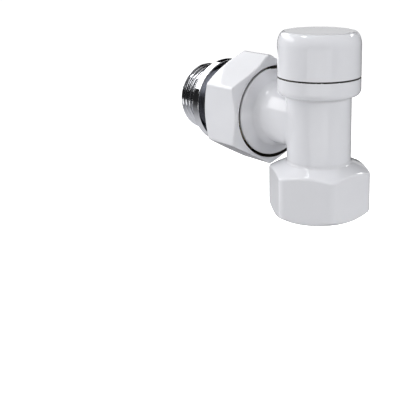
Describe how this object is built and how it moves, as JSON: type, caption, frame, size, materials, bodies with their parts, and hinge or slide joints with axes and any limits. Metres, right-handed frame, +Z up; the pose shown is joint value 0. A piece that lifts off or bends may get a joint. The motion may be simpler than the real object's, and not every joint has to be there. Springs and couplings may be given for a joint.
{
  "type": "lockshield valve",
  "caption": "Angle lockshield radiator valve: hexagonal female inlet, capped spindle column, side branch with a union nut and a threaded chrome tail.",
  "frame": {"origin": "centre of the inlet's end face, where the pipe enters", "axes": "+Z up along the inlet, spindle and cap; -X along the branch and tail, towards the radiator"},
  "size_m": [0.0644, 0.0294, 0.0517],
  "materials": {
    "white_enamel": "smooth glossy white stoved enamel on brass",
    "chrome": "mirror-bright chrome plate",
    "brass": "bright turned brass",
    "spring_steel": "bright spring wire",
    "black_rubber": "matt black EPDM"
  },
  "bodies": {
    "housing": {"valve_body": "white_enamel", "headwork_bush": "brass", "headwork_o_ring": "black_rubber", "spindle_circlip": "spring_steel"},
    "cap_seal": {"cap_o_ring": "black_rubber"},
    "cap": {"lockshield_cap": "white_enamel"},
    "cone": {"cone_holder": "brass", "seat_washer": "black_rubber", "throttle_plug": "brass", "cone_clip": "spring_steel"},
    "spindle": {"spindle": "brass", "spindle_o_ring_lower": "black_rubber", "spindle_o_ring_upper": "black_rubber"},
    "union_seal": {"union_o_ring": "black_rubber"},
    "tail": {"tail_piece": "chrome", "nut_retaining_ring": "spring_steel", "radiator_o_ring": "black_rubber"},
    "nut": {"union_nut": "white_enamel"}
  },
  "joints": [
    {"name": "cap_lift", "type": "slide", "parent": "housing", "child": "cap_seal", "axis": [0, 0, 1], "range_m": [0, 0.0045]},
    {"name": "cap_turn", "type": "hinge", "parent": "cap_seal", "child": "cap", "pos_m": [0, 0, 0.0454], "axis": [0, 0, 1], "range_deg": [0, 1082]},
    {"name": "spindle_lift", "type": "slide", "parent": "housing", "child": "cone", "axis": [0, 0, 1], "range_m": [0, 0.0035]},
    {"name": "spindle_turn", "type": "hinge", "parent": "cone", "child": "spindle", "pos_m": [0, 0, 0.036], "axis": [0, 0, 1], "range_deg": [0, 1263]},
    {"name": "union_travel", "type": "slide", "parent": "housing", "child": "union_seal", "axis": [-1, 0, 0], "range_m": [0, 0.00907]},
    {"name": "tail_swivel", "type": "hinge", "parent": "union_seal", "child": "tail", "pos_m": [-0.0384, 0, 0.0265], "axis": [-1, 0, 0], "continuous": true},
    {"name": "nut_turn", "type": "hinge", "parent": "union_seal", "child": "nut", "pos_m": [-0.026, 0, 0.0265], "axis": [-1, 0, 0], "range_deg": [0, 1803]}
  ],
  "couplings": [
    {"joint": "cap_turn", "follows": "cap_lift", "rad_per_m": 4188.8},
    {"joint": "spindle_turn", "follows": "spindle_lift", "rad_per_m": 6283.2},
    {"joint": "nut_turn", "follows": "union_travel", "rad_per_m": 3463.7}
  ]
}
